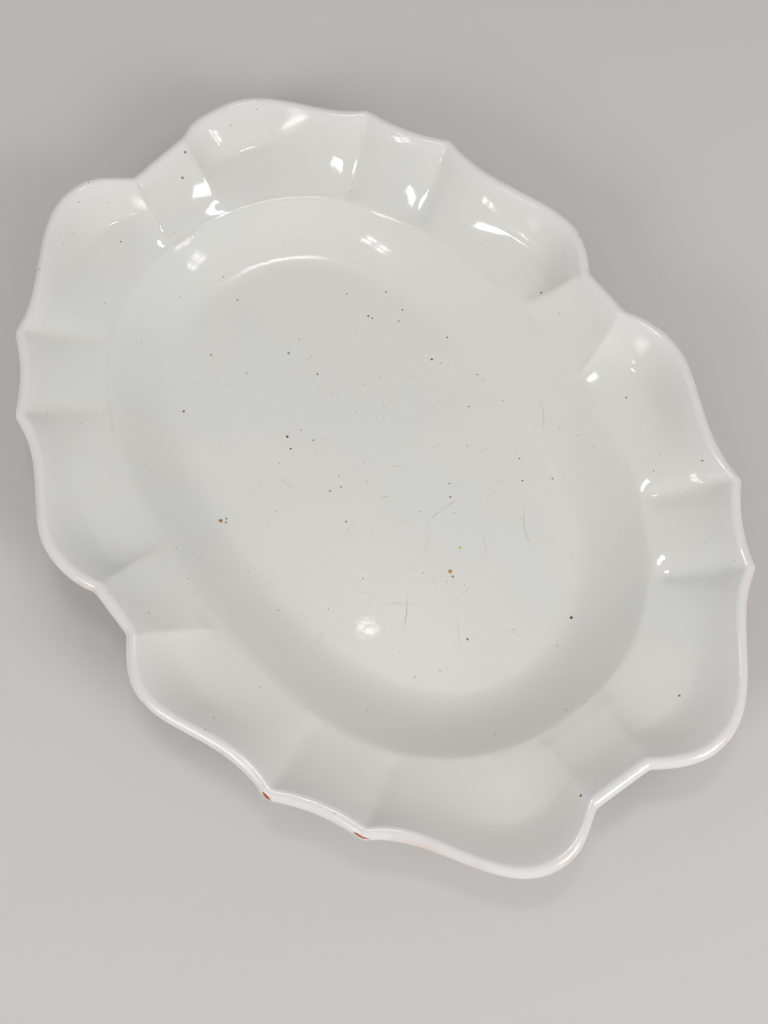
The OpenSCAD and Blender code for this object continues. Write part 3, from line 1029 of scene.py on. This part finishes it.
# %% Flakes that were knocked off
CHIPS = [
    dict(at=(-128.5, -95.1), turn=24, half=(2.3, 1.9), depth=1.55),
    dict(at=(-96, -114.8), turn=18, half=(3.2, 1.9), depth=1.7),
    dict(at=(94.7, -112.3), turn=26, half=(3.0, 1.9), depth=1.7),
    dict(at=(127.5, -92.2), turn=24, half=(4.8, 1.7), depth=1.55),
    dict(at=(132.9, 94), turn=20, half=(1.5, 1.0), depth=1.1),
    dict(at=(-29.2, 133), turn=38, half=(2.2, 1.3), depth=1.45),
    dict(at=(39.8, -130.4), turn=20, half=(1.6, 0.8), depth=1.1),
    dict(at=(24.6, -128.5), turn=16, half=(1.2, 0.8), depth=1.1),
    dict(at=(-151.2, -72.9), turn=20, half=(1.0, 0.9), depth=1.1),
]
FLAKE_THICK = 2.2 * MM
LUMP_HEIGHT = 0.22
LUMP_SCALE = 1.7
LUMP_STEP = 7.3


def flake(mesh, number, at, turn, half, depth):
    """Adds one lumpy flattened ball, sunk into the lip by its depth. Sizes are in millimetres."""
    nearest = int(np.argmin(np.hypot(*(lip_line - np.array(at) * MM).T)))
    outside = Vector((*(lip_line[nearest] - well_line[nearest]), 0)).normalized()
    along = Vector((-outside.y, outside.x, 0))
    square = outside * math.cos(math.radians(turn)) + Vector((0, 0, math.sin(math.radians(turn))))
    across = square.cross(along)
    middle = Vector((*lip_line[nearest], HEIGHT - LIP_RADIUS)) - outside * LIP_RADIUS
    middle += square * (LIP_RADIUS + FLAKE_THICK - depth * MM)
    lump_shift = Vector((number * LUMP_STEP, 0, 0))
    for vert in bmesh.ops.create_icosphere(mesh, subdivisions=3, radius=1)["verts"]:
        ball = vert.co * (1 + LUMP_HEIGHT * noise.noise(vert.co * LUMP_SCALE + lump_shift))
        vert.co = (middle + along * ball.x * half[0] * MM + across * ball.y * half[1] * MM
                   + square * ball.z * FLAKE_THICK)


flakes = bmesh.new()
for number, chip in enumerate(CHIPS):
    flake(flakes, number, **chip)
cutter_mesh = bpy.data.meshes.new("flakes")
flakes.to_mesh(cutter_mesh)
flakes.free()
cutter = added("flakes", cutter_mesh)
for skin in (clay, front, back):
    before = len(skin.data.polygons)
    knock = skin.modifiers.new("knocks", "BOOLEAN")
    knock.operation = "DIFFERENCE"
    knock.solver = "MANIFOLD"
    knock.object = cutter
    settle(skin)
    print(skin.name, "had", before, "faces and has", len(skin.data.polygons))
bpy.data.objects.remove(cutter)

# %% [markdown]
# ## Specks in the glaze
# Iron grains in the kiln left dark and ochre specks. They could be dots in the material, but real beads
# catch the light. The ones that catch the eye are listed one by one, and a seeded scatter strews small ones
# over the front. Each is a flattened bead that sits half in the glaze, so a ray cast down on the front
# glaze finds its level and its slope.

# %% Finish of the specks
DARK_SPECK = (0.055, 0.04, 0.03, 1)
OCHRE_SPECK = (0.50, 0.24, 0.025, 1)
YELLOW_SPECK = (0.74, 0.48, 0.05, 1)
VEIL_SHARE = 0.1
SPECK_RELIEF = 0.05 * MM


def speck_finish():
    """Iron specks from dark through ochre to yellow, by their tone, under a thin veil of glaze."""
    material, tree, shader, here = start_finish("iron_specks", Roughness=0.4)
    tone = marked(tree, "tone")
    colour = mixed(smooth_step(tone, 0, 0.8), DARK_SPECK, OCHRE_SPECK)
    colour = mixed(smooth_step(tone, 0.85, 1), colour, YELLOW_SPECK)
    veiled = mixed(mottle(here, scale=2500) * VEIL_SHARE, colour, WARM_WHITE)
    plug(veiled, shader.inputs["Base Color"])
    plug(bumped(mottle(here, scale=3000), 0.3, SPECK_RELIEF), shader.inputs["Normal"])
    return material


SPECK_FINISH = speck_finish()
print("Speck finish:", SPECK_FINISH.name)

# %% The speck tree
SPECK_FLATNESS = 0.22
FACING_UP = 0.6
MOSTLY_SMALL = 4
MOSTLY_DARK = 3
DOWN = (0, 0, -1)


def result(node, label):
    """One output of a node that has several in use."""
    return Field(node.outputs[label])


def chance(tree, seed):
    """A random number from 0 to 1 for each point. A Random Value node gives its plain number at 1."""
    node = tree.nodes.new("FunctionNodeRandomValue")
    node.data_type = "FLOAT"
    plug(seed, node.inputs["Seed"])
    return result(node, 1)


def dropped(tree, coat, geometry):
    """Points let down on the coat, with the coat's slope under each of them."""
    ray = tree.nodes.new("GeometryNodeRaycast")
    plug(coat, ray.inputs["Target Geometry"])
    plug(DOWN, ray.inputs["Ray Direction"])
    hit = result(ray, "Hit Position")
    laid = add_node(tree, "GeometryNodeSetPosition", Geometry=geometry, Position=hit)
    return laid, result(ray, "Hit Normal")


def beads(tree, points, turned, size, fineness):
    """Flattened balls on points."""
    ball = add_node(tree, "GeometryNodeMeshIcoSphere", Radius=1, Subdivisions=fineness)
    return add_node(tree, "GeometryNodeInstanceOnPoints", Points=points, Instance=ball, Rotation=turned,
                    Scale=joined(tree, size, size, size * SPECK_FLATNESS))


speck_tree, io = new_tree(
    "glaze_specks",
    {**PIECE_INPUTS, **dict.fromkeys(["Per area", "Smallest", "Largest"], "Float"),
     "Coat": "Object", "Seed": "Int"},
    PIECE_OUTPUTS)
coat = add_node(speck_tree, "GeometryNodeObjectInfo", output="Geometry", Object=io["Coat"])
upright = split(add_node(speck_tree, "GeometryNodeInputNormal"))[2]
on_top = maths("LESS_THAN", carried(speck_tree, "depth"), GLAZE / 2)
on_front = on_top * maths("GREATER_THAN", upright, FACING_UP)
strew = speck_tree.nodes.new("GeometryNodeDistributePointsOnFaces")
strew_inputs = {"Mesh": coat, "Selection": on_front, "Density": io["Per area"], "Seed": io["Seed"]}
for label, value in strew_inputs.items():
    plug(value, strew.inputs[label])
luck = chance(speck_tree, io["Seed"]) ** MOSTLY_SMALL
small_size = io["Smallest"] + (io["Largest"] - io["Smallest"]) * luck
toned = add_node(speck_tree, "GeometryNodeStoreNamedAttribute", Geometry=result(strew, "Points"),
                 Name="tone", Value=chance(speck_tree, io["Seed"] + 1) ** MOSTLY_DARK)
small = beads(speck_tree, toned, result(strew, "Rotation"), small_size, fineness=1)
laid, slope = dropped(speck_tree, coat, io["Geometry"])
turned = add_node(speck_tree, "FunctionNodeAlignRotationToVector", Vector=slope)
large = beads(speck_tree, laid, turned, carried(speck_tree, "size"), fineness=2)
both = speck_tree.nodes.new("GeometryNodeJoinGeometry")
for part in (small, large):
    plug(part, both.inputs["Geometry"])
finish_piece(speck_tree, result(both, "Geometry"), io["Finish"])

# %% [markdown]
# ## Placing the specks
# Each of these specks is given by its place and its radius in millimetres, and by its tone, from 0 for
# dark to 1 for yellow. A photograph spreads small dots, so the beads are made smaller than they look.

# %% Specks
SPECKS = [
    (-31.8, -22.2, 0.75, 0.1), (-26.2, -24.1, 0.6, 0.1), (-23.8, -13.8, 0.45, 0.2), (-31.0, -15.5, 0.4, 0.5),
    (-15.7, -66.4, 1.05, 0.45), (-15.2, -63.9, 0.55, 0.4), (-13.8, -65, 0.5, 0.3), (-68.1, -52.7, 0.75, 0.4),
    (-26.8, 51.3, 0.7, 0.0), (-60.9, 40.4, 0.6, 0.1), (-58.9, 41.2, 0.5, 0.1), (-66.5, 54.1, 0.5, 0.1),
    (-54.7, 54.9, 0.5, 0.1), (-51.0, 50.2, 0.45, 0.1), (-75.8, 38.7, 0.45, 0.1), (-101.6, -3.7, 0.5, 0.1),
    (-65.5, 0.5, 0.7, 0.5), (-84.7, -28.2, 0.6, 0.6), (-68.1, -20.2, 0.4, 0.1), (-49.4, 5.2, 0.6, 0.4),
    (58.0, 0.1, 1.15, 0.9), (60.4, -0.3, 0.7, 0.6), (51.9, 9.6, 0.7, 1.0), (102.4, 29.5, 0.85, 0.05),
    (85.4, -10.9, 0.6, 0.2), (42.5, 49.5, 0.5, 0.2), (49.1, 60.6, 0.45, 0.0), (33.6, 54.6, 0.45, 0.2),
    (31.2, 19.4, 0.5, 0.0), (25.9, 22.8, 0.45, 0.3), (-9.3, 63.6, 0.45, 0.1), (1.2, 51.2, 0.4, 0.3),
    (-0.2, -21.1, 0.6, 0.6), (1.0, -16.2, 0.5, 0.5), (15.2, -23.2, 0.55, 0.4), (-31.9, 63.3, 0.5, 0.1),
    (161.3, -16.3, 0.7, 0.4), (153.1, 39.8, 0.6, 0.3), (-157.1, 5.0, 0.8, 0.6), (-165.2, 12.1, 0.8, 0.5),
    (-19.1, 103.7, 0.6, 0.3), (41.3, 103.5, 0.5, 0.1), (83.5, 107.5, 0.45, 0.1), (-147.5, -34.2, 0.5, 0.2),
]
SPECK_SHRINK = 0.8
ABOVE_DISH = HEIGHT * 2

speck_x, speck_y, speck_size, speck_tone = np.array(SPECKS).T
speck_base = line_mesh("speck_base", np.stack([speck_x, speck_y], axis=1) * MM, ABOVE_DISH, [],
                       size=speck_size * SPECK_SHRINK * MM, tone=speck_tone)
specks = grow("glaze_specks", speck_base, speck_tree, {
    "Coat": front, "Per area": 9000.0, "Smallest": 0.05 * MM, "Largest": 0.3 * MM, "Seed": 11,
    "Finish": SPECK_FINISH})

# %% [markdown]
# ## Knife marks
# Knives scratched the floor of the well and the cuts took up brown stain. Cutting grooves into the glaze
# would need a far finer mesh, so each mark is a hair-thin tube whose radius fades to nothing at both ends,
# let down on the glaze by the same ray cast. The plainest marks are listed as shallow arcs, given
# by their two ends in millimetres, their bow and their tone, and a seeded scatter adds faint ones.

# %% Routes of the knife marks
CUTS = [
    (-56, 2.3, -57, 11.6, 0.18, 0.8), (-46.8, 1.5, -35.9, 5.5, 0.05, 0.7),
    (-18, -35.1, -9.7, -32.2, -0.08, 0.7), (5, 5.1, 9.4, 12.5, 0.05, 0.7),
    (15.1, -6.4, 16.8, -1.1, 0.1, 1.0), (53.6, -31.2, 61.9, -19.3, 0.04, 0.5),
    (68.4, -32.1, 56.6, -21.3, -0.06, 0.7), (18, 76.9, 29, 70.6, 0.08, 0.8),
    (35.6, 3.2, 34.1, 23.9, 0.05, 0.9), (51.7, 43.3, 68.7, 34.4, -0.07, 1.0),
    (48.6, 21.1, 61.5, 16.3, 0.08, 0.5), (20.7, 39, 21.8, 48.9, -0.05, 0.4),
    (3.1, 34.3, 4.1, 67.4, 0.06, 0.3), (43.5, 27.5, 33.6, 53.5, 0.05, 0.3),
    (63.7, -5.4, 88.3, -18.1, 0.08, 0.25), (88.9, 3, 98, 7.7, 0.06, 0.35),
    (-53.8, -32, -54.6, -23.7, 0.1, 0.4), (-43.1, -50.9, -51.4, -34.8, 0.12, 0.25),
    (-19.4, -51.3, -20.5, -41.7, -0.1, 0.35), (13.1, -68.9, 24.1, -62.4, 0.05, 0.3),
    (53.6, -64.6, 48.6, -55.1, 0.05, 0.3), (-92.9, -2.5, -84, 2.5, 0.06, 0.35),
]
CUT_POINTS = 13
FAINT_CUTS = 60
FAINT_SPREAD = 0.72
FAINT_REACH = (1.5, 8)
FAINT_BOW = 0.06
FAINT_TONE = 0.3
CARVING_ANGLE = 75
CARVING_SPREAD = 40
CUT_SEED = 5


def arc(start, end, bow):
    """Points from start to end, bowed sideways by a share of the length."""
    t = np.linspace(0, 1, CUT_POINTS)[:, None]
    side = np.array([start[1] - end[1], end[0] - start[0]])
    return start + (end - start) * t + side * bow * 4 * t * (1 - t)


def faint_cut(dice):
    """A random cut on the floor, most of them along the usual way of carving."""
    middle = FLOOR_HALF * dice.uniform(-FAINT_SPREAD, FAINT_SPREAD, 2)
    angle = math.radians(dice.normal(CARVING_ANGLE, CARVING_SPREAD))
    reach = np.array([math.cos(angle), math.sin(angle)]) * dice.uniform(*FAINT_REACH) * MM
    return middle - reach, middle + reach, dice.uniform(-FAINT_BOW, FAINT_BOW), dice.uniform(0, FAINT_TONE)


dice = np.random.default_rng(CUT_SEED)
cut_list = [(np.array(cut[0:2]) * MM, np.array(cut[2:4]) * MM, cut[4], cut[5]) for cut in CUTS]
cut_list += [faint_cut(dice) for _ in range(FAINT_CUTS)]
cut_points = np.concatenate([arc(start, end, bow) for start, end, bow, _ in cut_list])
cut_edges = [(k, k + 1) for k in range(len(cut_points) - 1) if (k + 1) % CUT_POINTS]
print("Knife marks:", len(CUTS), "placed by hand and", FAINT_CUTS, "faint ones")

# %% Widths and wavering of the knife marks
CUT_HALF_WIDTH = 0.11 * MM
FAINT_WIDTH = 0.4
PRESSURE = (0.25, 1.3)
TAPER_POWER = 0.6
TIP_WIDTH = 0.02
HAND_SHAKE = 0.12 * MM

taper = np.sin(np.linspace(0, math.pi, CUT_POINTS)) ** TAPER_POWER + TIP_WIDTH
cut_tone = np.repeat([tone for *_, tone in cut_list], CUT_POINTS)
cut_width = np.tile(taper, len(cut_list)) * CUT_HALF_WIDTH * (FAINT_WIDTH + (1 - FAINT_WIDTH) * cut_tone)
cut_width *= dice.uniform(*PRESSURE, len(cut_width))
cut_points += dice.normal(0, HAND_SHAKE, cut_points.shape)
print("Widest mark, mm:", round(2 * cut_width.max() / MM, 2))

# %% Knife marks
FAINT_STAIN = (0.66, 0.61, 0.47, 1)
BROWN_STAIN = (0.56, 0.37, 0.10, 1)
CUT_RELIEF = 0.03 * MM


def cut_finish():
    """Cuts in the glaze, browner where their tone is higher."""
    material, tree, shader, here = start_finish("stained_cuts", Roughness=0.5)
    browned = marked(tree, "tone") * smooth_step(mottle(here, scale=300), 0.25, 0.6)
    plug(mixed(browned, FAINT_STAIN, BROWN_STAIN), shader.inputs["Base Color"])
    plug(bumped(mottle(here, scale=4000), 0.2, CUT_RELIEF), shader.inputs["Normal"])
    return material


cut_tree, io = new_tree("knife_marks", {**PIECE_INPUTS, "Coat": "Object", "Sides": "Int"}, PIECE_OUTPUTS)
coat = add_node(cut_tree, "GeometryNodeObjectInfo", output="Geometry", Object=io["Coat"])
laid, _ = dropped(cut_tree, coat, io["Geometry"])
path = add_node(cut_tree, "GeometryNodeMeshToCurve", Mesh=laid)
hair = add_node(cut_tree, "GeometryNodeCurvePrimitiveCircle", Resolution=io["Sides"], Radius=1)
tube = add_node(cut_tree, "GeometryNodeCurveToMesh", Curve=path, Profile_Curve=hair,
                Scale=carried(cut_tree, "width"))
finish_piece(cut_tree, tube, io["Finish"])
cut_base = line_mesh("cut_base", cut_points, ABOVE_DISH, cut_edges, width=cut_width, tone=cut_tone)
cuts = grow("knife_marks", cut_base, cut_tree, {"Coat": front, "Sides": 4, "Finish": cut_finish()})

# %% [markdown]
# ## Camera
# The camera stands where the photograph was taken from: 70 degrees above the floor, turned 55 degrees
# round the dish, half a metre away. It could be aimed with a constraint, but the turn is one line here.

# %% Camera
ELEVATION = math.radians(70)
AZIMUTH = math.radians(55.26)
CAMERA_DISTANCE = 482.35 * MM
AIM_LEVEL = 36 * MM
AIM_SHIFT = (-5.572 * MM, 30.218 * MM)
FOCAL_PIXELS = 1200
IMAGE_HEIGHT = 1024
NEAREST = 10 * MM

right = Vector((math.cos(AZIMUTH), math.sin(AZIMUTH), 0))
away = Vector((-math.sin(AZIMUTH), math.cos(AZIMUTH), 0))
up = Vector((0, 0, 1))
aim = up * AIM_LEVEL - right * AIM_SHIFT[0] - away * AIM_SHIFT[1]
toward_camera = up * math.sin(ELEVATION) - away * math.cos(ELEVATION)


def face_along(thing, direction):
    """Turns a camera or a lamp so that it looks along a direction."""
    thing.rotation_mode = "QUATERNION"
    thing.rotation_quaternion = direction.to_track_quat("-Z", "Y")


camera_data = bpy.data.cameras.new("studio_camera")
camera_data.lens = camera_data.sensor_width * FOCAL_PIXELS / IMAGE_HEIGHT
camera_data.clip_start = NEAREST
camera = added("studio_camera", camera_data)
camera.location = aim + toward_camera * CAMERA_DISTANCE
face_along(camera, -toward_camera)
bpy.context.scene.camera = camera
print("Camera at, mm:", [round(x / MM, 1) for x in camera.location])

# %% [markdown]
# ## Floor
# A plain pale floor takes the shadow of the dish. One large square is enough, with a tone that hardly
# changes, so that it looks like paper and not like an empty world.

# %% Floor
FLOOR_SIZE = 8.0
FLOOR_TONE = (0.63, 0.61, 0.60, 1)
FLOOR_PALER = (0.66, 0.64, 0.63, 1)

material, tree, shader, here = start_finish("pale_floor", Roughness=0.9)
plug(mixed(mottle(here, scale=3), FLOOR_TONE, FLOOR_PALER), shader.inputs["Base Color"])
floor_mesh = bpy.data.meshes.new("studio_floor")
floor_corners = FLOOR_SIZE / 2 * QUARTER_SIGN[[2, 3, 0, 1]]
floor_mesh.from_pydata([(x, y, 0) for x, y in floor_corners], [], [(0, 1, 2, 3)])
floor_mesh.materials.append(material)
floor = added("studio_floor", floor_mesh)
print("Floor:", FLOOR_SIZE, "m square")

# %% [markdown]
# ## Light
# The dish lies in soft daylight: a bright patch overhead, two broad windows on the near side and two small
# ones, whose panes mirror in the far ears. A picture of a room could light the glaze, but area lights are
# plainer to set, and their reflections have just the size and place that they are given. A bare panel
# mirrors as a hard block, so a small node tree lets the windows fade towards their edges.

# %% Overhead light
def soft_panel(name, direction, distance, size, radiance, shift=(0, 0)):
    """A rectangular light that shines on the dish from a direction given as right, away and up."""
    data = bpy.data.lights.new(name, "AREA")
    data.shape = "RECTANGLE"
    data.size, data.size_y = size
    data.energy = radiance * math.pi * size[0] * size[1]
    lamp = added(name, data)
    pointing = (right * direction[0] + away * direction[1] + up * direction[2]).normalized()
    face_along(lamp, -pointing)
    lamp.location = pointing * distance + lamp.rotation_quaternion @ Vector((*shift, 0))
    lamp.visible_camera = False
    return lamp


overhead = soft_panel("overhead_panel", (-0.02, 0.13, 0.99), distance=1.3, size=(0.28, 0.11), radiance=13.7)
print(overhead.name, "gives", round(overhead.data.energy, 2), "W")

# %% Windows
PANE = (0.08, 0.05)
PANE_BAR = 0.015
PANE_RADIANCE = 8
WINDOW = (0.7, 0.7)
WINDOW_DISTANCE = 1.5
MEAN_FADE = (1 / 6) ** 2


def fade_edges(lamp):
    """Lets a panel fade out towards its edges, with as much light in all as before."""
    lamp.data.use_nodes = True
    tree = lamp.data.node_tree
    along, across, _ = split(add_node(tree, "ShaderNodeNewGeometry", output="Parametric"))
    fade = along * (1 - along) * across * (1 - across)
    plug(fade * (1 / MEAN_FADE), tree.nodes["Emission"].inputs["Strength"])


def paned_window(name, direction):
    """Four panes with bars between them, as they mirror in the glaze of the ears."""
    for column, row in ((-1, -1), (1, -1), (-1, 1), (1, 1)):
        shift = (column * (PANE[0] + PANE_BAR) / 2, row * (PANE[1] + PANE_BAR) / 2)
        pane_name = f"{name}_{column}_{row}"
        fade_edges(soft_panel(pane_name, direction, WINDOW_DISTANCE, PANE, PANE_RADIANCE, shift))


paned_window("left_panes", (-0.42, -0.29, 0.86))
paned_window("right_panes", (0.51, -0.24, 0.83))
fade_edges(soft_panel("left_window", (-0.60, -0.60, 0.53), WINDOW_DISTANCE, WINDOW, radiance=3.6))
fade_edges(soft_panel("right_window", (0.65, -0.55, 0.53), WINDOW_DISTANCE, WINDOW, radiance=5.1))
print("Area lights:", len(bpy.data.lights))

# %% Air
AIR_RADIANCE = 0.42

world = bpy.data.worlds.new("studio_air")
bpy.context.scene.world = world
world.use_nodes = True
air = world.node_tree.nodes["Background"]
air.inputs["Color"].default_value = (1, 1, 1, 1)
air.inputs["Strength"].default_value = AIR_RADIANCE
bpy.context.scene.view_settings.view_transform = "Standard"
print("Air:", AIR_RADIANCE, "all round")

# %% [markdown]
# ## Handing the pieces over
# Each piece is attached to the root body of the frame, and the CAD node that it stands for is hidden.
# The specks and the knife marks are extra, so they replace nothing.

# %% Hand over
MAIN_PIECES = [
    (clay, "clay_body", "terracotta"),
    (foot, "foot_ring", "bare_foot"),
    (front, "front_glaze", "front_glaze"),
    (back, "back_glaze", "back_glaze"),
]
for piece, node, slot in MAIN_PIECES:
    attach(piece, "root")
    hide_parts(node)
for piece in (specks, cuts):
    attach(piece, "root")
